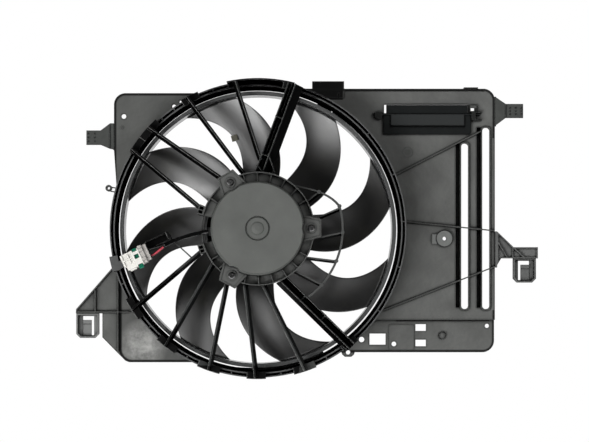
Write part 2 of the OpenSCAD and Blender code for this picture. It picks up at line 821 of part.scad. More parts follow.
// Star-drive screws through the ears into the motor's lugs
module motor_screws() {
    color("#222324")
        for (a = ear_angles)
            rotate([0, -a, 0])
                translate([ear_r, 0, 0])
                    difference() {
                        turned()
                            polygon([[0, flange_front - 6], [screw_r, flange_front - 6],
                                [screw_r, rim_front + 1], [5, rim_front + 1], [5, rim_front + 2.6],
                                [3.6, rim_front + 4], [0, rim_front + 4]]);
                        for (k = [0:2])
                            translate([0, -(rim_front + 4.5), 0])
                                rotate([0, 60 * k, 0])
                                    translate([-2, 0, -0.6])
                                        cube([4, 2.4, 1.2]);
                    }
}

// Motor cap: the shallow dished cover with a raised centre button
bearing_r = 9;
front_bearing_at = 87;

module motor_cap() {
    color("#55585a")
        difference() {
            turned()
                polygon([[0, cap_depth - 2.6], [bearing_r + 0.03, cap_depth - 2.6],
                    [bearing_r + 0.03, front_bearing_at], [bearing_r + 2.5, front_bearing_at],
                    [bearing_r + 2.5, cap_depth - 2.6], [cap_r - 2.6, cap_depth - 2.6],
                    [cap_r - 2.6, flange_front + 0.1], [cap_r, flange_front + 0.1],
                    [cap_r, cap_depth - 2], [cap_r - 2, cap_depth], [18, cap_depth],
                    [17.6, cap_depth - 0.8], [16.6, cap_depth - 0.8], [16.2, cap_depth + 0.6],
                    [9.5, cap_depth + 0.6], [8.5, cap_depth + 1.2], [6, cap_depth + 1.9],
                    [3.4, cap_depth + 2.4], [0, cap_depth + 2.4]]);
            for (a = ear_angles)
                rotate([0, -a, 0])
                    slab(flange_front, cap_depth + 3)
                        translate([ear_r, 0])
                            circle(13.6);
        }
}

// Motor can: deep-drawn cup with a mounting flange, three lugs and a rear bearing nose
can_wall = 2;
can_rear = 26;

module motor_can() {
    color("#8b8e90")
        difference() {
            union() {
                turned()
                    polygon([[shaft_r + 3, can_rear - 4.5], [bearing_r + 2.6, can_rear - 4.5],
                        [bearing_r + 2.6, can_rear], [can_r - 3, can_rear], [can_r, can_rear + 3],
                        [can_r, flange_front - 3], [cap_r - 0.5, flange_front - 3],
                        [cap_r - 0.5, flange_front], [can_r - can_wall, flange_front],
                        [can_r - can_wall, can_rear + can_wall], [bearing_r + 2.6, can_rear + can_wall],
                        [bearing_r + 2.6, can_rear + 4], [bearing_r + 0.03, can_rear + 4],
                        [bearing_r + 0.03, can_rear - 3], [shaft_r + 3, can_rear - 3]]);
                for (a = ear_angles)
                    rotate([0, -a, 0])
                        slab(flange_front - 3, flange_front)
                            union() {
                                translate([ear_r, 0])
                                    circle(6.8);
                                box2d(cap_r - 3, -6.8, ear_r, 6.8);
                            }
            }
            for (a = ear_angles)
                rotate([0, -a, 0])
                    translate([ear_r, -flange_front + 4, 0])
                        rotate([90, 0, 0])
                            cylinder(h = 6, r = screw_r + 0.02);
        }
}

// Four arc magnets inside the can
module magnets() {
    color("#4a4b4d")
        for (k = [0:3])
            sector(can_r - can_wall - 7.1, can_r - can_wall - 0.1, 36, 70, 90 * k + 12, 90 * k + 78);
}

core_r = can_r - can_wall - 8.2;

// Rotor core: a stack with twelve winding slots
module armature_core() {
    color("#9a9c9e")
        slab(38, 67)
            difference() {
                circle(core_r);
                circle(shaft_r + 0.02);
                for (k = [0:11])
                    rotate(30 * k)
                        union() {
                            translate([core_r - 13, 0])
                                circle(4.6);
                            translate([core_r - 13, -1.2])
                                square([14, 2.4]);
                        }
            }
}

// Copper coils in the slots, with rounded ends on both sides of the core
module windings() {
    color("#b5652d") {
        for (t = [33.8, 71.2])
            turned()
                translate([core_r - 14, t])
                    scale([1.4, 0.6])
                        circle(6.6, $fn = 32);
        for (k = [0:11])
            rotate([0, -30 * k, 0])
                translate([core_r - 13, -74, 0])
                    rotate([-90, 0, 0])
                        cylinder(h = 43, r = 4.4, $fn = 32);
    }
}

commutator_r = 13;

module commutator() {
    color("#b87333")
        slab(76.5, 85)
            difference() {
                circle(commutator_r);
                circle(shaft_r + 0.02);
                for (k = [0:11])
                    rotate(30 * k)
                        translate([commutator_r - 2, -0.3])
                            square([3, 0.6]);
            }
}

// Brush plate: a moulded disc in the cap's mouth that holds the brushes
module brush_plate() {
    color("#6b4a2b") {
        difference() {
            ring(commutator_r + 4, cap_r - 3, flange_front + 0.1, flange_front + 2);
            for (a = ear_angles)
                rotate([0, -a, 0])
                    slab(flange_front - 1, cap_depth)
                        translate([ear_r, 0])
                            circle(16.6);
        }
        for (k = [0:3])
            rotate([0, -90 * k - 45, 0])
                for (z = [-6.4, 4.6])
                    translate([commutator_r + 4.5, -flange_front - 7, z])
                        cube([22, 5.1, 1.8]);
    }
}

module brushes() {
    color("#2a2a2c")
        for (k = [0:3])
            rotate([0, -90 * k - 45, 0])
                difference() {
                    translate([commutator_r - 1, -flange_front - 6.6, -4.3])
                        cube([17, 4.3, 8.6]);
                    rotate([90, 0, 0])
                        cylinder(h = 200, r = commutator_r + 0.05, center = true);
                }
}

// Spiral leaf springs that press the brushes inwards
module brush_springs() {
    spring_r = 3.6;
    color("#c9ccce")
        for (k = [0:3])
            rotate([0, -90 * k - 45, 0])
                slab(flange_front + 2.3, flange_front + 6)
                    translate([commutator_r + 16 + spring_r + 0.4, 0])
                        difference() {
                            circle(spring_r, $fn = 48);
                            circle(spring_r - 0.6, $fn = 48);
                            rotate(20)
                                square([6, 1.2]);
                        }
}

shaft_back = 1;
hub_boss_back = 6;

module shaft() {
    color("#c4c7ca")
        turned()
            polygon([[0, shaft_back], [shaft_r - 0.4, shaft_back], [shaft_r, shaft_back + 0.4],
                [shaft_r, front_bearing_at + 8], [0, front_bearing_at + 8]]);
}

// A plain bearing bush with chamfered mouths
module bush(t0, t1) {
    turned()
        polygon([[shaft_r + running, t0 + 0.5], [shaft_r + running + 0.5, t0], [bearing_r, t0],
            [bearing_r, t1], [shaft_r + running + 0.5, t1], [shaft_r + running, t1 - 0.5]]);
}

module front_bearing() {
    color("#a98f5c")
        bush(front_bearing_at + 0.3, front_bearing_at + 7.5);
}

module rear_bearing() {
    color("#a98f5c")
        bush(can_rear - 2.9, can_rear + 4);
}

// Fan hub: a cup over the motor's rear half with a stepped face, inner ribs and a bored boss
module fan_hub() {
    color("#232526") {
        difference() {
            turned()
                polygon([[shaft_r + 0.02, hub_boss_back], [13, hub_boss_back], [15, fan_back - 0.5],
                    [hub_out - 26, fan_back - 0.5], [hub_out - 22, fan_back - 2.5],
                    [hub_out - 7, fan_back - 2.5], [hub_out, fan_back + 4], [hub_out, fan_front],
                    [hub_in, fan_front], [hub_in, fan_back + 5], [hub_out - 8, fan_back],
                    [hub_out - 21, fan_back], [hub_out - 25, fan_back + 2], [16, fan_back + 2],
                    [14, can_rear - 6], [shaft_r + 0.02, can_rear - 6]]);
            for (k = [0:7])
                rotate([0, -45 * k - 20, 0])
                    slab(0, fan_back + 4)
                        translate([34, 0])
                            circle(4);
        }
        for (k = [0:7])
            rotate([0, -45 * k, 0])
                translate([14.5, -(can_rear - 8), -0.8])
                    cube([hub_in - 14.5 + 0.5, can_rear - 8 - fan_back - 1.5, 1.6]);
    }
}

// Blades: swept aerofoils lofted between the hub and the ring, one surface worked out per blade
// The leading edge is the one turned forwards at the tip and lies nearer the radiator
lead_low = 58;
lead_rise = 41.5;
trail_root = 22.5;
blade_nu = 10;
blade_ns = 9;
function lead_angle(s) = lead_low + lead_rise * pow(s - 0.31, 2);
function trail_angle(s) = trail_root + 14.5 * s + 17.6 * s * s;
function lead_depth(s) = fan_back + 3 + 5 * s;
function trail_depth(s) = fan_front - 3 - 6 * s;
function blade_angle(s, u) = lead_angle(s) + (trail_angle(s) - lead_angle(s)) * u;
function blade_mid(s, u) = lead_depth(s) + (trail_depth(s) - lead_depth(s)) * u - 3.2 * 4 * u * (1 - u) * (1 - s / 3);
function blade_half(s, u) = blade_t * (1 - 0.2 * s) / 2 * (0.3 + 0.7 * sqrt(4 * u * (1 - u)));
function blade_radius(s) = hub_out + seat / 2 + (ring_in - hub_out - seat) * s;
function blade_point(s, u, side) =
    let (r = blade_radius(s), a = blade_angle(s, u))
    [r * cos(a), -(blade_mid(s, u) + side * blade_half(s, u)), r * sin(a)];
function blade_ring(s) = concat([for (i = [0:blade_nu]) blade_point(s, i / blade_nu, 1)],
    [for (i = [blade_nu:-1:0]) blade_point(s, i / blade_nu, -1)]);

// A closed skin over rows of equal rings of points
module loft(rings) {
    n = len(rings[0]);
    m = len(rings);
    points = [for (r = rings) for (p = r) p];
    sides = [for (j = [0:m - 2]) for (i = [0:n - 1])
        let (a = j * n + i, b = j * n + (i + 1) % n, c = a + n, d = b + n)
        for (f = [[a, b, d], [a, d, c]]) f];
    half = n / 2;
    caps = [for (j = [0, m - 1]) for (i = [0:half - 2])
        let (a = j * n + i, b = a + 1, c = j * n + n - 1 - i, d = c - 1)
        for (f = j == 0 ? [[a, d, b], [a, c, d]] : [[a, b, d], [a, d, c]]) f];
    polyhedron(points = points, faces = concat(sides, caps), convexity = 6);
}

module fan_blades() {
    color("#3f4142")
        for (k = [0:blade_count - 1])
            rotate([0, -360 / blade_count * k, 0])
                loft([for (j = [0:blade_ns]) blade_ring(j / blade_ns)]);
}

module fan_ring() {
    color("#232526")
        turned()
            polygon([[ring_in, fan_back], [ring_in + ring_wall, fan_back], [ring_in + ring_wall, fan_front - 2.4],
                [lip_r, fan_front - 2.4], [lip_r, fan_front], [ring_in + 1, fan_front],
                [ring_in, fan_front - 1]]);
}

module shaft_nut() {
    color("#9fa2a4")
        difference() {
            slab(shaft_back + 0.6, hub_boss_back)
                circle(shaft_r + 3.2, $fn = 6);
            slab(0, hub_boss_back + 1)
                circle(shaft_r + 0.02);
        }
}

// Balance clip: a folded steel strip pushed over one blade's leading edge
clip_s = 0.53;

module balance_clip() {
    r = blade_radius(clip_s);
    a = blade_angle(clip_s, 0) + 360 / blade_count;
    t = blade_mid(clip_s, 0);
    rise = (blade_mid(clip_s, 0.1) - t) / ((lead_angle(clip_s) - blade_angle(clip_s, 0.1)) * PI / 180 * r);
    gap = blade_t / 2 + 0.8;
    color("#8f8256")
        rotate([0, -a, 0])
            translate([r, -t, 0])
                rotate([-atan(rise), 0, 0])
                    difference() {
                        translate([-4.5, -gap - 0.8, -6.5])
                            cube([9, 2 * gap + 1.6, 9.5]);
                        translate([-5, -gap, -8])
                            cube([10, 2 * gap, 10]);
                    }
}

// Connector: set on a bracket at the rim, its axis turned towards the motor
plug_c = [-182 - grow, -41.8];
plug_turn = 25;
plug_back = spoke_back + 5;
plug_front = plug_back + 22;

// Places a child in the connector's own frame: along its axis, across it, and depth
module at_plug() {
    translate([plug_c[0], 0, plug_c[1]])
        rotate([0, -plug_turn, 0])
            children();
}

module connector_bracket() {
    color("#18191a") {
        at_plug() {
            slab(spoke_back + 0.2, plug_back)
                box2d(-20, -13, 20, 10);
            slab(spoke_back + 0.2, plug_back + 3)
                box2d(-32.5, -6, -22.5, 5);
            slab(spoke_back + 0.2, plug_back - 0.5)
                box2d(-23, -5, -19, 4);
        }
        sector(barrel_r + 0.3, crown_out, spoke_back + 0.2, foot_front, 190.6, 196.4);
        sector(rail_out + 0.3, crown_out, 38, spoke_back + 0.3, 190.6, 196.4);
    }
}

lock_t = [plug_front - 8.3, plug_front - 3];

module connector_housing() {
    color("#d9d8cf")
        at_plug()
            difference() {
                union() {
                    slab(plug_back + seat, plug_front - 2)
                        soft_box(-21, -14.5, 8, 10.7, [1.5, 1.5, 1.5, 1.5]);
                    slab(plug_back + 2, plug_front)
                        box2d(-3.5, -14.3, 8, 10.5);
                    slab(plug_back + 3, plug_front - 4)
                        box2d(-4, -15.6, 7.8, 11.3);
                    slab(plug_back + 1, plug_front - 0.6)
                        box2d(-21, -8, -18, 10.4);
                    slab(plug_front - 2.1, plug_front - 0.4)
                        union() {
                            box2d(-18.1, 0, -3.4, 2);
                            box2d(-10.5, -6.5, -8.5, 8.5);
                        }
                    slab(plug_back + 2, plug_front - 3)
                        box2d(-15, -17, -5, -14.4);
                }
                slab(plug_back + seat - 1, plug_front + 1)
                    box2d(-22, -16, -18, -8.4);
                slab(plug_back + 4, plug_front - 5)
                    box2d(-23, -11.5, -6, 7.7);
                slab(lock_t[0] - 0.3, lock_t[1] + 0.3)
                    box2d(-1.3, -20, 6.3, 20);
                slab(lock_t[1], plug_front + 1)
                    union() {
                        box2d(-1, -3.2, 5.8, 3);
                        box2d(-1.3, 7.5, 6.3, 16);
                        box2d(-1.3, -17, 6.3, -12.4);
                    }
            }
}

module connector_lock() {
    color("#0f8a6a")
        at_plug() {
            slab(lock_t[0], lock_t[1])
                box2d(-1, -19.3, 6, 12);
            slab(lock_t[1] - 0.1, lock_t[1] + 2.3)
                union() {
                    box2d(-0.9, -18.8, 5.9, -17.4);
                    box2d(-0.9, 8.2, 5.9, 9.5);
                }
        }
}

module connector_cap() {
    color("#6f7371")
        at_plug() {
            slab(plug_back + seat, plug_front - 1)
                box2d(8.1, -14.8, 14.5, 13);
            slab(plug_back + 3, plug_front + 0.6)
                union() {
                    box2d(8.1, -10, 14.5, -6);
                    box2d(8.1, 4, 14.5, 8);
                }
            slab(plug_back + 1, plug_front - 3)
                box2d(14.4, -13, 21, 11.6);
        }
}

module contacts() {
    color("#c8b070")
        at_plug()
            for (y = [-7.3, 0.7])
                slab(plug_back + 9, plug_back + 9.8)
                    box2d(-16, y, -6, y + 3);
}

// Tray and hook that carry the lead from the connector towards the motor
module lead_tray() {
    color("#1d1e1f") {
        at_plug() {
            slab(spoke_back + 0.2, spoke_back + 2.4)
                box2d(20.2, 3, 60, 15);
            slab(spoke_back + 2.3, spoke_back + 9)
                box2d(21.5, 13.4, 56, 15);
            slab(spoke_back + 2.3, spoke_back + 15)
                box2d(55, 9, 57, 15);
            slab(spoke_back + 13, spoke_back + 15)
                box2d(55, 3.5, 60, 15);
        }
        difference() {
            rib([-131.5 - grow, -13.3], [-98 - grow * 0.4, -44], spoke_back + 0.3, spoke_back + 10, 1.8);
            along(spoke_line(3)[0], spoke_line(3)[1])
                translate([-2 - seat, spoke_back - 1])
                    square([8, 22]);
        }
    }
}

// A tube swept along hand-picked points, each ring square to the route
function unit(v) = v / norm(v);
function route_dir(p, i) = unit(p[min(i + 1, len(p) - 1)] - p[max(i - 1, 0)]);
function tube_ring(p, d, ra, rb, n) =
    let (e = unit(cross(d, [0, 1, 0])), f = cross(d, e))
    [for (k = [0:n - 1]) p + e * ra * cos(360 * k / n) + f * rb * sin(360 * k / n)];
function midway(p) = [for (i = [0:len(p) - 1]) each i == len(p) - 1 ? [p[i]] :
    [p[i], (p[i] + p[i + 1]) / 2 + (i > 0 && i < len(p) - 2 ? (p[i] + p[i + 1] - p[i - 1] - p[i + 2]) / 16
    : [0, 0, 0])]];

module tube(route, ra, rb, n = 8) {
    p = [for (q = midway(route)) q];
    loft([for (i = [0:len(p) - 1]) tube_ring(p[i], route_dir(p, i), ra, rb, n)]);
}

// Routes of the lead, as across, depth and up
red_points = [[-159.4, -72, -40.2], [-155.5, -72.2, -38.3], [-151.5, -72.2, -35.7], [-147.5, -72, -32.6],
    [-143.8, -71.8, -29.5], [-140.5, -71.6, -27]];
black_points = [[-163.7, -72, -30.9], [-159.8, -71.9, -29.1], [-154.5, -71.7, -27.3], [-149.5, -71.6, -26],
    [-144.7, -71.6, -24.6], [-140.9, -71.6, -23.2]];
sleeve_points = [[-139.2, -71.6, -24.6], [-134, -71.6, -22], [-128, -71.4, -19], [-120, -71.2, -15.8],
    [-111, -71, -12.6], [-102, -71, -9.8], [-93, -71.2, -7.4], [-84.4, -71.8, -5.6], [-78, -72.6, -4.6],
    [-73.6, -73.2, -4.1]];

// A point of the lead moves with the connector where near is 1 and with the motor can where it is 0
function moved(p, near) = p + near * [-grow, 55 - barrel_depth, 0]
    + (1 - near) * (can_r - 62) * [cos(183.2), 0, sin(183.2)];
red_route = [for (p = red_points) moved(p, 1)];
black_route = [for (p = black_points) moved(p, 1)];
sleeve_route = [for (i = [0:9]) moved(sleeve_points[i], min(1, max(0, (8 - i) / 6)))];

module red_wire() {
    color("#c23a45")
        tube(red_route, 1.8, 1.8);
}

module black_wire() {
    color("#151515")
        tube(black_route, 1.4, 1.4);
}

module cable_sleeve() {
    color("#151515")
        tube(sleeve_route, 2.9, 1.8, 10);
}

// Rubber grommet where the lead enters the motor
module lead_grommet() {
    color("#1a1a1a")
        rotate([0, -183.2, 0])
            slab(floor_front - 8, floor_front)
                box2d(can_r + 0.3, -6, can_r + 11.3, 6);
}

barrel_ring();
corner_panel_upper_left();
corner_panel_lower_left();
right_panel();
lower_left_clip();
upper_left_tongue();
upper_right_tongue();
right_bracket();
motor_carrier();
stator_spokes();
upper_channel_arm();
lower_channel_arm();
guard_rib();
air_flap();
round_plug();
motor_screws();
motor_cap();
motor_can();
magnets();
brush_plate();
brushes();
brush_springs();
armature_core();
windings();
commutator();
shaft();
front_bearing();
rear_bearing();
lead_grommet();
fan_hub();
fan_blades();
fan_ring();
shaft_nut();
balance_clip();
connector_bracket();
connector_housing();
connector_lock();
connector_cap();
contacts();
lead_tray();
red_wire();
black_wire();
cable_sleeve();
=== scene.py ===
"""Looks of a radiator cooling fan in its shroud: camera, finishes, lofted blades, the short lead and a white
studio. Shapes are worked out in mm and turned to metres where a mesh is made; every other length is in metres.
The radiator face lies at y = 0 and the viewer is on the side of negative y."""
import math

import bpy
import numpy as np
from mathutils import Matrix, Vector


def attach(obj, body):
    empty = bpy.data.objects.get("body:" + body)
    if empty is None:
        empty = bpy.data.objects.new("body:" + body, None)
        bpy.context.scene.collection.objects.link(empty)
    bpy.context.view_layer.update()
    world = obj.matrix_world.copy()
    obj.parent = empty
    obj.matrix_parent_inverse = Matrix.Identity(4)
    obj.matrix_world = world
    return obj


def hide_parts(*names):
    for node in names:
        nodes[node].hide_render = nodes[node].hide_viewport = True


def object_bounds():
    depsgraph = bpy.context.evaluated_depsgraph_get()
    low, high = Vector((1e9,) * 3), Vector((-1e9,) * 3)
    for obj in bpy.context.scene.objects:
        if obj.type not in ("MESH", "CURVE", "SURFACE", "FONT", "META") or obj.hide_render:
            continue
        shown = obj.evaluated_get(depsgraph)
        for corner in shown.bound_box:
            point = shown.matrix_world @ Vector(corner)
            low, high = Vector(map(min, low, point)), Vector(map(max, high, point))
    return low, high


# Camera: level, square to the shroud, a little right of and below the fan axis, with the lens shifted
CAMERA_FOOT = (0.0405, -0.0762)  # x and z of the lens axis
FOOT_PX = (285.0, 280.0)         # the same point in the picture
FRAME_PX = (589, 442)
RIM_PLANE = -0.055               # y of the barrel's front rim, where the scale holds
PX = 0.0015                      # metres per pixel there
DISTANCE = 2.6                   # from the lens to the rim plane
SENSOR_MM = 36
CLIP = (0.05, 60)


def place_camera():
    """A camera DISTANCE in front of the barrel's rim that shows PX metres per pixel there."""
    data = bpy.data.cameras.new("camera")
    cam = bpy.data.objects.new("camera", data)
    bpy.context.scene.collection.objects.link(cam)
    cam.location = (CAMERA_FOOT[0], RIM_PLANE - DISTANCE, CAMERA_FOOT[1])
    cam.rotation_euler = (math.pi / 2, 0, 0)
    data.sensor_width = SENSOR_MM
    data.lens = SENSOR_MM * DISTANCE / (FRAME_PX[0] * PX)
    data.shift_x = (FRAME_PX[0] / 2 - FOOT_PX[0]) / FRAME_PX[0]
    data.shift_y = (FOOT_PX[1] - FRAME_PX[1] / 2) / FRAME_PX[0]
    data.clip_start, data.clip_end = CLIP
    bpy.context.scene.camera = cam


place_camera()
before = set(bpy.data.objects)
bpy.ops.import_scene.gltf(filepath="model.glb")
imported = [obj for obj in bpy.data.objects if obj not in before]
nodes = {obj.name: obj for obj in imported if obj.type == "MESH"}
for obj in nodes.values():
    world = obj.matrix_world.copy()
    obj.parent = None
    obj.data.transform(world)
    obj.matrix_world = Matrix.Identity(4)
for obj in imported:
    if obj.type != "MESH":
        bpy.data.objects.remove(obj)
cad_box = [list(v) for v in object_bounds()]


# ---- Shader helpers: each takes a node tree and gives back a socket

FLATTEN = (1, 0, 1)  # drops the depth of a place


def number(tree, operation, a, b=None):
    """A Math node on one or two sockets."""
    n = tree.nodes.new("ShaderNodeMath")
    n.operation = operation
    tree.links.new(a, n.inputs[0])
    if b is not None:
        tree.links.new(b, n.inputs[1])
    return n.outputs[0]


def vector(tree, operation, a, b=None):
    """A Vector Math node on a socket and, where the operation takes one, a second socket or three numbers."""
    n = tree.nodes.new("ShaderNodeVectorMath")
    n.operation = operation
    tree.links.new(a, n.inputs[0])
    if isinstance(b, tuple):
        n.inputs[1].default_value = b
    elif b is not None:
        tree.links.new(b, n.inputs[1])
    return n.outputs["Value" if operation in ("DOT_PRODUCT", "DISTANCE", "LENGTH") else "Vector"]


def axes(tree, place):
    """The X, Y and Z outputs of a vector."""
    n = tree.nodes.new("ShaderNodeSeparateXYZ")
    tree.links.new(place, n.inputs[0])
    return n.outputs


def coordinate(tree, kind):
    return tree.nodes.new("ShaderNodeTexCoord").outputs[kind]


def speckle(tree, coord, scale, detail=2.0, rough=0.5):
    """Noise of the given scale, in features per metre."""
    n = tree.nodes.new("ShaderNodeTexNoise")
    n.inputs["Scale"].default_value = scale
    n.inputs["Detail"].default_value = detail
    n.inputs["Roughness"].default_value = rough
    tree.links.new(coord, n.inputs["Vector"])
    return n.outputs["Fac"]


def spread(tree, value, low, high, out_low, out_high):
    """Maps value from low..high to out_low..out_high, clamped."""
    n = tree.nodes.new("ShaderNodeMapRange")
    for k, v in zip(("From Min", "From Max", "To Min", "To Max"), (low, high, out_low, out_high)):
        n.inputs[k].default_value = v
    tree.links.new(value, n.inputs["Value"])
    return n.outputs["Result"]


def times(tree, a, b):
    return number(tree, "MULTIPLY", a, b)


def blend_colours(tree, amount, a, b):
    """The colour a where amount is 0, b where it is 1; either may be a socket."""
    n = tree.nodes.new("ShaderNodeMix")
    n.data_type = "RGBA"
    for socket, c in ((n.inputs[6], a), (n.inputs[7], b)):
        if hasattr(c, "default_value"):
            tree.links.new(c, socket)
        else:
            socket.default_value = (*c, 1)
    tree.links.new(amount, n.inputs[0])
    return n.outputs[2]


def scaled(colour, share):
    return tuple(c * share for c in colour)


def tone(r, g, b):
    """A colour from its sRGB values 0 to 255, as linear numbers."""
    return tuple(((v / 255 + 0.055) / 1.055) ** 2.4 if v > 10 else v / 255 / 12.92 for v in (r, g, b))


def new_finish(name):
    """An empty material with a Principled shader; returns (material, tree, shader, object coordinates)."""
    mat = bpy.data.materials.new(name)
    mat.use_nodes = True
    tree = mat.node_tree
    tree.nodes.clear()
    out = tree.nodes.new("ShaderNodeOutputMaterial")
    shader = tree.nodes.new("ShaderNodeBsdfPrincipled")
    tree.links.new(shader.outputs[0], out.inputs[0])
    return mat, tree, shader, coordinate(tree, "Object")


def raise_surface(tree, shader, height, depth, distance, under):
    """Bump from a height socket, on top of an earlier normal."""
    n = tree.nodes.new("ShaderNodeBump")
    n.inputs["Strength"].default_value = depth
    n.inputs["Distance"].default_value = distance
    tree.links.new(height, n.inputs["Height"])
    tree.links.new(under, n.inputs["Normal"])
    tree.links.new(n.outputs[0], shader.inputs["Normal"])


def edge_rounding(tree, radius, faint=0.99, full=0.75):
    """(rounded normal, edge mask): the mask is 1 where the surface turns sharply within radius. faint and
    full are the cosines of the turn at which the mask starts and is whole."""
    round_off = tree.nodes.new("ShaderNodeBevel")
    round_off.samples = 4
    round_off.inputs["Radius"].default_value = radius
    flat = tree.nodes.new("ShaderNodeNewGeometry").outputs["Normal"]
    turn = vector(tree, "DOT_PRODUCT", round_off.outputs[0], flat)
    return round_off.outputs[0], spread(tree, turn, faint, full, 0.0, 1.0)


def facing_out(tree):
    """1 on faces that look along Y, away from the radiator or at it, and 0 on the walls that run along Y."""
    depthwise = number(tree, "ABSOLUTE", axes(tree, coordinate(tree, "Normal"))["Y"])
    return spread(tree, depthwise, 0.70, 0.97, 0.0, 1.0)


def facing_away(tree, coord):
    """1 on walls that look away from the fan's axis, 0 on those that look at it or along the rim."""
    outward = vector(tree, "NORMALIZE", vector(tree, "MULTIPLY", coord, FLATTEN))
    return spread(tree, vector(tree, "DOT_PRODUCT", outward, coordinate(tree, "Normal")), 0.2, 0.6, 0, 1)


def openness(tree, reach):
    """1 in the open, towards 0 deep in a groove, pocket or inner corner that is narrower than reach."""
    n = tree.nodes.new("ShaderNodeAmbientOcclusion")
    n.samples = 6
    n.inputs["Distance"].default_value = reach
    return n.outputs["AO"]


def pale_pool(tree, coord, x, z, radius):
    """A soft uneven mask round x and z, over the whole depth."""
    away = vector(tree, "DISTANCE", vector(tree, "MULTIPLY", coord, FLATTEN), (x, 0, z))
    near = spread(tree, away, radius, radius * 0.2, 0, 1)
    return times(tree, near, spread(tree, speckle(tree, coord, POOL_MOTTLE, 5, 0.7), 0.35, 0.65, 0.22, 1))


def inside(tree, coord, box):
    """1 inside the box of (low, high) metres along X, Y and Z, where None leaves that way open."""
    soft = 0.0002
    place = axes(tree, coord)
    mask = None
    for axis, limits in zip("XYZ", box):
        for limit, ends in zip(limits or (), ((0, 1), (1, 0))):
            if limit is not None:
                step = spread(tree, place[axis], limit - soft, limit + soft, *ends)
                mask = step if mask is None else times(tree, mask, step)
    return mask


def rolled_rim(tree, coord, rect, radius, width, gap=None):
    """1 in a band of the given width just inside the outline of the round-cornered rectangle (x0, x1, z0, z1),
    but not inside the box gap. The band softens inwards, and ends just outside the outline."""
    x0, x1, z0, z1 = rect
    past_centre = vector(tree, "SUBTRACT", coord, ((x0 + x1) / 2, 0, (z0 + z1) / 2))
    past_corner = vector(tree, "SUBTRACT", vector(tree, "ABSOLUTE", past_centre),
                         ((x1 - x0) / 2 - radius, 1, (z1 - z0) / 2 - radius))
    reach = vector(tree, "LENGTH", vector(tree, "MAXIMUM", past_corner, (0, 0, 0)))
    inner = spread(tree, reach, radius - width, radius - width * 0.6, 0, 1)
    band = times(tree, inner, spread(tree, reach, radius + 0.0004, radius + 0.0008, 1, 0))
    if gap:
        band = times(tree, band, spread(tree, inside(tree, coord, gap), 0, 1, 1, 0))
    return band


# ---- Finishes

# Sizes of the noises, in features per metre
FLOW_MARKS, SCUFFS, STAINS, POOL_MOTTLE, RUB, PLATING, SCRATCHES = 24, 95, 34, 60, 160, 60, 1800
# Shares of a tone: scuffed front, painted shade on a rolled rim and on a rolled edge, the darker flow
# marks on an outer wall's painted light, painted shade at the bottom of a recess
SCUFFED, ROLLED, TURNED, SHADED, DEEP = 0.72, 0.08, 0.2, 0.8, 0.25
GRAIN_RISE = 0.0002
DOWN_LEFT = (-0.75, 0, -0.66)  # where the brightest lamps stand, seen from the front


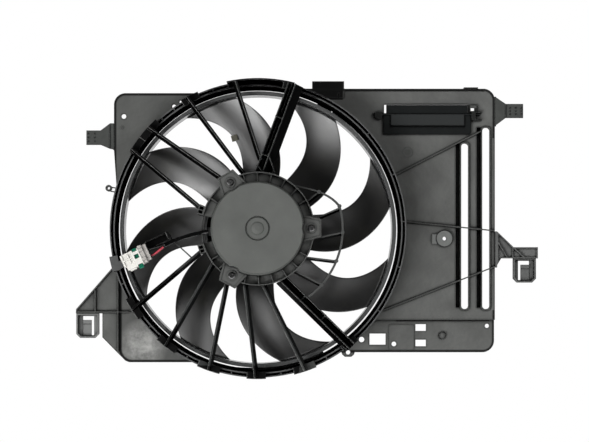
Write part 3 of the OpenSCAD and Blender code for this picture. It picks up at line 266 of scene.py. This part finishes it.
def moulded(name, front, wall, rim, rough, specular=0.3, grain=1500.0, grain_depth=0.25, blotch=0.12,
            edge=0.0006, recess=0.012, sheen_rough=0.12, round_edge=0.0, patch=None, coat=0.0,
            lit_edge=0.0, stain=None, zones=(), side=None, rolled=None, zone_wall=0.0):
    """Moulded plastic: the faces that are handled and lit are front, the walls behind them take wall, a
    painted shade, and edges take rim, rubbed a little paler and with a painted highlight. Recesses take
    painted shade over the reach recess, cloudy flow marks vary colour and gloss by blotch, and a fine grain
    stands in the surface. Where a face rolls over to its wall, within round_edge, it takes a dark painted
    shade. patch is a
    painted pool of light, mottled: x, z, radius and the tone there. lit_edge is the width of the painted
    highlight on the edges that face down or left, towards the lamps, stain a colour in faint clouds. zones
    are boxes with a tone of their own, such as painted shade in a deep trough, painted light on bars that
    face the lamps, or a raised field, and zone_wall is the share of that tone that the walls in them take.
    side is the tone of the outer walls, painted light as if daylight reached them. rolled is a plate's
    outline, corner radius, the width of its rolled edge's painted shade and a box that has none. Tones are
    sRGB values."""
    front, wall, rim = (tone(*c) for c in (front, wall, rim))
    mat, tree, shader, coord = new_finish(name)
    cloud = speckle(tree, coord, FLOW_MARKS, 5, 0.65)
    marks = spread(tree, cloud, 0.32, 0.68, 0, 1)
    scuffs = spread(tree, speckle(tree, coord, SCUFFS, 3, 0.6), 0.35, 0.75, 0, 0.35)
    fine = speckle(tree, coord, grain, 2)

    base = blend_colours(tree, marks, scaled(front, 1 - blotch), scaled(front, 1 + blotch))
    base = blend_colours(tree, scuffs, base, scaled(front, SCUFFED))
    if stain:
        clouds = spread(tree, speckle(tree, coord, STAINS, 6, 0.7), 0.47, 0.68, 0, 1)
        base = blend_colours(tree, clouds, base, tone(*stain))
    # zones: tones by place, most of them painted shade in deep troughs and painted light on bars
    for box, colour in zones:
        base = blend_colours(tree, inside(tree, coord, box), base, tone(*colour))
    # patch: a painted pool of light, mottled
    if patch:
        base = blend_colours(tree, pale_pool(tree, coord, *patch[:3]), base, tone(*patch[3]))
    # rolled: painted shade in a band along a plate's rolled edge
    if rolled:
        base = blend_colours(tree, rolled_rim(tree, coord, *rolled), base, scaled(front, ROLLED))

    wall_tone = wall
    # side: painted light on the walls that look away from the fan's axis
    if side:
        lit_wall = blend_colours(tree, marks, scaled(tone(*side), SHADED), tone(*side))
        wall_tone = blend_colours(tree, facing_away(tree, coord), wall, lit_wall)
    # the walls in the zones take a share of that painted tone
    if zone_wall:
        for box, colour in zones:
            wall_tone = blend_colours(tree, inside(tree, coord, box), wall_tone,
                                      scaled(tone(*colour), zone_wall))
    # painted shade: the walls that run along Y take the dark wall tone, the fronts their own
    base = blend_colours(tree, facing_out(tree), wall_tone, base)

    # round_edge: painted shade where a face rolls over to its wall
    if round_edge:
        turned = times(tree, edge_rounding(tree, round_edge, 0.996, 0.94)[1],
                       spread(tree, cloud, 0.3, 0.6, 0.7, 0.95))
        base = blend_colours(tree, turned, base, scaled(front, TURNED))
    # painted shade: recesses narrower than recess darken towards a share of the wall tone
    light = openness(tree, recess)
    base = blend_colours(tree, spread(tree, light, 0.25, 0.85, 0, 1), scaled(wall, DEEP), base)

    # paler edges: rubbed wear with a painted highlight; lit_edge paints it on front edges that face the lamps
    normal, mask = edge_rounding(tree, edge)
    if lit_edge:
        lean = vector(tree, "DOT_PRODUCT", edge_rounding(tree, lit_edge)[0], DOWN_LEFT)
        lit = number(tree, "MAXIMUM", spread(tree, lean, 0.06, 0.34, 0, 1), spread(tree, mask, 0, 1, 0, 0.5))
        mask = times(tree, facing_out(tree), lit)
    rub_and_highlight = times(tree, mask, spread(tree, speckle(tree, coord, RUB, 3), 0.3, 0.6, 0.5, 1))
    rub_and_highlight = times(tree, rub_and_highlight, spread(tree, light, 0.5, 0.8, 0, 1))

    tree.links.new(blend_colours(tree, rub_and_highlight, base, rim), shader.inputs["Base Color"])
    tree.links.new(spread(tree, cloud, 0.3, 0.7, rough - sheen_rough / 2, rough + sheen_rough / 2),
                   shader.inputs["Roughness"])
    shader.inputs["Specular IOR Level"].default_value = specular
    shader.inputs["Coat Weight"].default_value = coat
    shader.inputs["Coat Roughness"].default_value = rough
    raise_surface(tree, shader, fine, grain_depth, GRAIN_RISE, normal)
    return mat


def metal(name, colour, rough, metallic=1.0):
    """Bare or plated metal with fine scratches and uneven gloss. The colour is in linear numbers."""
    mat, tree, shader, coord = new_finish(name)
    cloud = speckle(tree, coord, PLATING, 3)
    fine = speckle(tree, coord, SCRATCHES, 2)
    tree.links.new(blend_colours(tree, cloud, scaled(colour, 0.85), colour), shader.inputs["Base Color"])
    tree.links.new(spread(tree, cloud, 0.3, 0.7, rough - 0.06, rough + 0.08), shader.inputs["Roughness"])
    shader.inputs["Metallic"].default_value = metallic
    normal, _ = edge_rounding(tree, 0.0003)
    raise_surface(tree, shader, fine, 0.15, GRAIN_RISE / 2, normal)
    return mat


# painted light: OUTER_WALL stands in for daylight on the shroud's outer walls
OUTER_WALL = (64, 65, 65)  # the tone that daylight gives the shroud's outer walls
WIDE = 0.4                 # an outline's side that lies well outside its node, so that it draws no band


def charcoal(name, front, rim, **more):
    """The shroud's matt plates and tongues, whose near-black walls are painted shade."""
    return moulded(name, front, (9, 10, 10), rim, 0.55, specular=0.1, side=OUTER_WALL, blotch=0.2, **more)


def gloss_black(name, front, rim, **more):
    """The shroud's glossy black bars, in copies whose front tones differ by painted light, with near-black
    walls of painted shade. Without specular, since they would mirror the white wall at a low angle.
    """
    return moulded(name, front, (8, 8, 8), rim, 0.38, specular=0.0, side=OUTER_WALL, grain_depth=0.12, **more)


# Below, each finish's second tone is painted shade on walls, its third a rubbed and painted-highlight edge
PANEL = charcoal("panel_charcoal", (112, 113, 112), (134, 136, 134), round_edge=0.0018, recess=0.004,
                 edge=0.0008,
                 zones=[(((None, -0.236), None, (None, -0.118)), (132, 133, 132))])     # the left clip
UPPER_LEFT = charcoal("panel_upper_left", (100, 101, 99), (124, 126, 124), round_edge=0.0045,
                      rolled=((-0.2202, WIDE, -WIDE, 0.2086), 0.0175, 0.0046))
# painted light: a pale mottled pool where the low lamps fall on the lower left panel
LIT_PATCH_PANEL = charcoal("panel_lit_patch", (106, 107, 105), (124, 126, 124), round_edge=0.0032,
                 patch=(-0.175, -0.173, 0.040, (200, 200, 197)),
                 rolled=((-0.212, WIDE, -0.2015, WIDE), 0.020, 0.0046))
# The right panel's zones at the top hook, the top strip and the flap bearings are painted shade
RIGHT = charcoal("panel_right", (110, 111, 109), (124, 126, 124), round_edge=0.0045,
                 rolled=((-WIDE, 0.3604, -0.1866, 0.2155), 0.018, 0.0046,
                         ((0.340, None), None, (-0.122, 0.140))),                       # beside the slots
                 zones=[(((None, 0.1285), None, (0.1985, None)), (24, 24, 24)),          # top hook
                        (((0.1285, 0.345), None, (0.2112, None)), (26, 26, 26)),         # top strip
                        (((0.165, 0.350), (None, -0.0136), (0.166, 0.186)), (40, 41, 40))])  # flap bearings
PLUG = moulded("plug_charcoal", (126, 128, 126), (20, 20, 20), (150, 151, 150), 0.5, specular=0.2,
               blotch=0.1, round_edge=0.0016)
TONGUE = charcoal("tongue_charcoal", (82, 84, 82), (118, 120, 118), round_edge=0.002,
                  zones=[((None, (-0.01385, -0.01320), None), (30, 30, 30))])           # grip dots
# The glossy black barrel's rail fronts take a pale tone, a painted highlight; the crown zone is painted shade
GLOSS = moulded("rim_black", (98, 99, 99), (6, 6, 6), (150, 150, 150), 0.30, specular=0.0, edge=0.0009,
                side=OUTER_WALL, grain=900, grain_depth=0.06, sheen_rough=0.08,
                zones=[(((-0.075, 0.118), None, (0.196, None)), (26, 26, 27))])         # crown
# painted light: the right and lower spokes, walls too, take paler zones where the lamps fall on them
SPOKE = gloss_black("spoke_black", (24, 24, 24), (150, 151, 149), lit_edge=0.0018,
                    zones=[(((0.062, None), None, None), (76, 77, 76)),                 # right spokes
                           (((-0.12, 0.062), None, (-0.204, -0.02)), (62, 63, 63))],    # lower spokes
                    zone_wall=0.35)
ARM = gloss_black("arm_black", (38, 39, 39), (150, 151, 149), lit_edge=0.0018)
# painted light: the guard rib takes a pale front tone where the lamps fall on it
RIB = gloss_black("guard_black", (88, 89, 88), (120, 121, 120))
FLAP = moulded("flap_black", (38, 40, 40), (4, 4, 4), (96, 98, 98), 0.42, specular=0.0, grain_depth=0.12,
               round_edge=0.0025, zones=[((None, (None, -0.0174), None), (60, 62, 62))])  # raised field
BLADE = moulded("blade_satin", (5, 5, 4), (5, 5, 4), (60, 59, 56), 0.36, specular=1.0, grain=1200,
                grain_depth=0.08, recess=0.03, coat=1.0, stain=(30, 29, 22))
FAN_RIM = moulded("fan_rim_black", (84, 85, 85), (30, 31, 32), (130, 130, 130), 0.24, grain_depth=0.05,
                  specular=0.8)
CARRIER = moulded("carrier_charcoal", (98, 99, 97), (14, 15, 15), (132, 134, 132), 0.5, recess=0.006,
                  side=OUTER_WALL, round_edge=0.0025)
# painted light: the cap's outer wall takes the paler side tone
CAP_PAINT = moulded("cap_grey_paint", (105, 107, 104), (30, 31, 30), (132, 134, 132), 0.5, grain=700,
                    side=(92, 94, 91), grain_depth=0.35, blotch=0.13, round_edge=0.0022)
SCREW = metal("screw_black_zinc", (0.22, 0.22, 0.22), 0.28)
STEEL = metal("can_steel", (0.55, 0.56, 0.57), 0.35)
BRIGHT = metal("bright_steel", (0.62, 0.62, 0.62), 0.22)
COPPER = metal("winding_copper", (0.70, 0.33, 0.16), 0.3)
BRONZE = metal("bearing_bronze", (0.58, 0.45, 0.24), 0.4)
OLIVE = metal("clip_olive_zinc", (0.15, 0.145, 0.11), 0.45, metallic=0.35)
DARK_METAL = metal("magnet_grey", (0.12, 0.12, 0.125), 0.5)
BROWN = moulded("brush_plate_brown", (88, 60, 38), (70, 48, 30), (130, 95, 66), 0.5)
CARBON = moulded("brush_carbon", (40, 40, 40), (30, 30, 30), (70, 70, 70), 0.6)
RUBBER = moulded("grommet_rubber", (30, 30, 30), (20, 20, 20), (50, 50, 50), 0.6)
CREAM = moulded("socket_cream", (252, 250, 243), (190, 188, 180), (252, 250, 244), 0.42, blotch=0.03,
                grain_depth=0.1, recess=0.0011)
GREEN = moulded("lock_green", (20, 132, 100), (10, 84, 66), (60, 170, 140), 0.38, blotch=0.08, recess=0.004)
GREY = moulded("socket_grey", (196, 192, 187), (60, 60, 58), (214, 212, 208), 0.35, blotch=0.14, recess=0.004)
RED = moulded("red_sheath", (226, 96, 110), (150, 44, 54), (220, 110, 118), 0.36, blotch=0.06, grain_depth=0.1)
BLACK_SHEATH = moulded("black_sheath", (5, 5, 5), (3, 3, 3), (60, 60, 60), 0.14, grain_depth=0.1, specular=0.6)

FINISH = {
    "barrel_ring": GLOSS, "corner_panel_upper_left": UPPER_LEFT, "corner_panel_lower_left": LIT_PATCH_PANEL,
    "right_panel": RIGHT, "lower_left_clip": PANEL, "upper_left_tongue": TONGUE, "upper_right_tongue": TONGUE,
    "right_bracket": PANEL, "motor_carrier": CARRIER, "stator_spokes": SPOKE, "upper_channel_arm": ARM,
    "lower_channel_arm": ARM, "guard_rib": RIB, "air_flap": FLAP, "round_plug": PLUG,
    "motor_screws": SCREW, "motor_cap": CAP_PAINT, "motor_can": STEEL, "magnets": DARK_METAL,
    "brush_plate": BROWN, "brushes": CARBON, "brush_springs": BRIGHT, "armature_core": STEEL,
    "windings": COPPER, "commutator": COPPER, "shaft": BRIGHT, "front_bearing": BRONZE,
    "rear_bearing": BRONZE, "lead_grommet": RUBBER, "fan_hub": FAN_RIM, "fan_blades": BLADE,
    "fan_ring": FAN_RIM, "shaft_nut": BRIGHT, "balance_clip": OLIVE, "connector_bracket": GLOSS,
    "connector_housing": CREAM, "connector_lock": GREEN, "connector_cap": GREY, "contacts": BRONZE,
    "lead_tray": SPOKE, "red_wire": RED, "black_wire": BLACK_SHEATH, "cable_sleeve": BLACK_SHEATH,
}
for node, finish in FINISH.items():
    for place in nodes[node].material_slots:
        place.material = finish


# ---- Surfaces worked out with numpy

MM = 0.001


def skin(name, grid, finish, body):
    """A closed mesh over a grid of points in mm, shape (rows, columns, 3): each row is a closed outline, and
    one face fills the first row and one the last."""
    rows, cols = grid.shape[:2]
    index = np.arange(rows * cols).reshape(rows, cols)
    a, b = index[:-1], index[1:]
    faces = np.stack([a, np.roll(a, -1, 1), np.roll(b, -1, 1), b], -1).reshape(-1, 4).tolist()
    faces += [index[0, ::-1].tolist(), index[-1].tolist()]
    mesh = bpy.data.meshes.new(name)
    mesh.from_pydata((grid.reshape(-1, 3) * MM).tolist(), [], faces)
    mesh.materials.append(finish)
    mesh.shade_smooth()
    piece = bpy.data.objects.new(name, mesh)
    bpy.context.scene.collection.objects.link(piece)
    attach(piece, body)
    return piece


# The fan in mm: radii of hub and ring, how far a blade sits in them, its thickness, the depths at which the
# fan's back and front lie, and the number of blades
HUB_R, RING_R, SEAT = 79.5, 202.0, 0.2
BLADE_T, FAN_BACK, FAN_FRONT, BLADES = 2.6, 9.5, 46.5, 8
HOLLOW = 3.2
EDGE_SHARE = 0.3  # of the half thickness that is left at a blade's edges


def blade_points(turn, along=40, across=28):
    """One blade: s runs from hub to ring, u from the leading to the trailing edge. The edges' angles are
    58 + 41.5 (s - 0.31)^2 and 22.5 + 14.5 s + 17.6 s^2 degrees, the depth goes from 12.5 + 5 s to
    43.5 - 6 s with a hollow between, and the half thickness falls towards both edges."""
    s = np.linspace(0, 1, along)[:, None]
    ring = np.linspace(0, 2 * np.pi, 2 * across, endpoint=False)[None, :]
    u = (1 - np.cos(ring)) / 2 + 0 * s
    side = np.sin(ring) + 0 * s
    lead = 58 + 41.5 * (s - 0.31) ** 2
    trail = 22.5 + 14.5 * s + 17.6 * s * s
    angle = np.radians(lead + (trail - lead) * u + turn)
    t0, t1 = FAN_BACK + 3 + 5 * s, FAN_FRONT - 3 - 6 * s
    middle = 4 * u * (1 - u)
    mid = t0 + (t1 - t0) * u - HOLLOW * middle * (1 - s / 3)
    half = BLADE_T * (1 - 0.2 * s) / 2 * (EDGE_SHARE + (1 - EDGE_SHARE) * np.sqrt(middle))
    lift = half * np.sign(side) * np.minimum(1, np.abs(side) / 0.35) ** 0.5
    r = HUB_R + SEAT / 2 + (RING_R - HUB_R - SEAT) * s + 0 * u
    return np.stack([r * np.cos(angle), -(mid + lift), r * np.sin(angle)], -1)


for k in range(BLADES):
    blade = skin("blade_%d" % (k + 1), blade_points(360 / BLADES * k), BLADE, "fan")
    if k == 0:
        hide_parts("fan_blades")


def smooth_route(points, per_leg=8):
    """A Catmull-Rom curve through the given points in mm: each leg is the cubic whose end slopes are half
    the difference of the neighbouring points."""
    p = np.array(points, float)
    p = np.vstack([2 * p[0] - p[1], p, 2 * p[-1] - p[-2]])
    t = np.linspace(0, 1, per_leg, endpoint=False)[None, :, None]
    a, b, c, d = (p[k:len(p) - 3 + k, None, :] for k in range(4))
    leg = 0.5 * (2 * b + (c - a) * t + (2 * a - 5 * b + 4 * c - d) * t ** 2 + (3 * b - a - 3 * c + d) * t ** 3)
    return np.vstack([leg.reshape(-1, 3), p[-2][None]])


def sheath(route, outline, around):
    """A tube along a route: at each point the outline (angle to offsets across and towards the viewer)
    stands square to the route's direction."""
    way = np.gradient(route, axis=0)
    way /= np.linalg.norm(way, axis=1)[:, None]
    e = np.cross(way, [0, 1, 0])
    e /= np.linalg.norm(e, axis=1)[:, None]
    f = np.cross(way, e)
    x, y = outline(np.linspace(0, 2 * np.pi, around, endpoint=False))
    return route[:, None] + e[:, None] * x[None, :, None] + f[:, None] * y[None, :, None]


RED_ROUTE = [(-159.4, -72, -40.2), (-155.5, -72.2, -38.3), (-151.5, -72.2, -35.7), (-147.5, -72, -32.6),
             (-143.8, -71.8, -29.5), (-140.5, -71.6, -27)]
BLACK_ROUTE = [(-163.7, -72, -30.9), (-159.8, -71.9, -29.1), (-154.5, -71.7, -27.3), (-149.5, -71.6, -26),
               (-144.7, -71.6, -24.6), (-140.9, -71.6, -23.2)]
SLEEVE_ROUTE = [(-139.2, -71.6, -24.6), (-134, -71.6, -22), (-128, -71.4, -19), (-120, -71.2, -15.8),
                (-111, -71, -12.6), (-102, -71, -9.8), (-93, -71.2, -7.4), (-84.4, -71.8, -5.6),
                (-78, -72.6, -4.6), (-73.6, -73.2, -4.1)]


def one_core(radius):
    """A round outline."""
    return lambda a: (radius * np.cos(a), radius * np.sin(a))


def two_cores(a):
    """Two round cores side by side: the height grows with the cosine's size and narrows to a waist between
    them."""
    waist = 1.25 + 0.55 * np.abs(np.cos(a)) ** 0.8
    return 2.85 * np.cos(a), waist * np.sin(a)


def lead_piece(name, route, outline, finish, node, around):
    """One length of the lead, closed at both ends, in the place of its plain solid."""
    piece = skin(name, sheath(smooth_route(route), outline, around), finish, "shroud")
    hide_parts(node)
    return piece


lead_piece("red_lead", RED_ROUTE, one_core(1.8), RED, "red_wire", 20)
lead_piece("black_lead", BLACK_ROUTE, one_core(1.4), BLACK_SHEATH, "black_wire", 20)
lead_piece("flat_sleeve", SLEEVE_ROUTE, two_cores, BLACK_SHEATH, "cable_sleeve", 32)


# ---- Studio: a white wall behind, a dim room in front, four soft boxes

# Name, place, width and height, radiance; all aim at the same point
BOXES = (("soft_box_left", (-2.20, -1.62, -0.60), (1.3, 1.5), 5.4),
         ("soft_box_low", (-1.25, -1.95, -1.45), (1.45, 1.45), 6.0),
         ("soft_box_right", (1.90, -2.07, 0.62), (1.5, 1.9), 2.6),
         ("soft_box_over_lens", (0.09, -2.82, 1.29), (0.9, 0.9), 3.0))
AIM = (0.05, -0.05, 0.0)
DIM_ROOM, WHITE = 0.03, 1.0
# The floor lies far below the part, or it would block the low lamp, and ends short of the lamps, or the
# glossy blades would mirror it
FLOOR_DROP, FLOOR_FRONT, FLOOR_SIZE = 2.6, -1.0, 12.0


def white_where_seen(tree, strength):
    """strength for camera, glossy and transmission rays, 0 for the diffuse ones that light the object."""
    path = tree.nodes.new("ShaderNodeLightPath")
    seen = path.outputs["Is Camera Ray"]
    for name in ("Is Glossy Ray", "Is Transmission Ray"):
        seen = number(tree, "MAXIMUM", seen, path.outputs[name])
    return times(tree, seen, strength)


def studio():
    """World and lamps. The camera sees white all round; glossy rays see the white wall behind the object and a
    dim room in front of it; the room gives a weak even light."""
    world = bpy.data.worlds.new("studio")
    bpy.context.scene.world = world
    world.use_nodes = True
    tree = world.node_tree
    tree.nodes.clear()
    out = tree.nodes.new("ShaderNodeOutputWorld")
    room = tree.nodes.new("ShaderNodeBackground")
    seen = tree.nodes.new("ShaderNodeBackground")
    for sky in (room, seen):
        sky.inputs[0].default_value = (1, 1, 1, 1)
    wall = spread(tree, axes(tree, coordinate(tree, "Generated"))["Y"], 0.1, 0.5, DIM_ROOM, WHITE)
    tree.links.new(wall, room.inputs[1])
    path = tree.nodes.new("ShaderNodeLightPath")
    mix = tree.nodes.new("ShaderNodeMixShader")
    tree.links.new(path.outputs["Is Camera Ray"], mix.inputs[0])
    tree.links.new(room.outputs[0], mix.inputs[1])
    tree.links.new(seen.outputs[0], mix.inputs[2])
    tree.links.new(mix.outputs[0], out.inputs[0])
    for name, place, size, radiance in BOXES:
        data = bpy.data.lights.new(name, "AREA")
        data.shape = "RECTANGLE"
        data.size, data.size_y = size
        data.energy = radiance * math.pi * size[0] * size[1]
        lamp = bpy.data.objects.new(name, data)
        bpy.context.scene.collection.objects.link(lamp)
        lamp.location = place
        lamp.rotation_euler = (Vector(AIM) - Vector(place)).to_track_quat("-Z", "Y").to_euler()


def lay_floor():
    """A pale floor below the hanging part. It glows to just white where it is seen, and more away from the
    part, where the lamps' light on it fades."""
    mesh = bpy.data.meshes.new("floor")
    z = cad_box[0][2] - FLOOR_DROP
    corners = [(-FLOOR_SIZE, FLOOR_FRONT, z), (FLOOR_SIZE, FLOOR_FRONT, z),
               (FLOOR_SIZE, FLOOR_SIZE, z), (-FLOOR_SIZE, FLOOR_SIZE, z)]
    mesh.from_pydata(corners, [], [(0, 1, 2, 3)])
    floor = bpy.data.objects.new("floor", mesh)
    bpy.context.scene.collection.objects.link(floor)
    mat = bpy.data.materials.new("floor_white")
    mat.use_nodes = True
    tree = mat.node_tree
    tree.nodes.clear()
    out = tree.nodes.new("ShaderNodeOutputMaterial")
    matte = tree.nodes.new("ShaderNodeBsdfDiffuse")
    matte.inputs[0].default_value = (0.8, 0.8, 0.8, 1)
    glow = tree.nodes.new("ShaderNodeEmission")
    far = spread(tree, vector(tree, "LENGTH", coordinate(tree, "Object")), 0.6, 1.6, 0.80, WHITE)
    tree.links.new(white_where_seen(tree, far), glow.inputs[1])
    both = tree.nodes.new("ShaderNodeAddShader")
    tree.links.new(matte.outputs[0], both.inputs[0])
    tree.links.new(glow.outputs[0], both.inputs[1])
    tree.links.new(both.outputs[0], out.inputs[0])
    mesh.materials.append(mat)


studio()
lay_floor()
bpy.context.scene.view_settings.view_transform = "Standard"
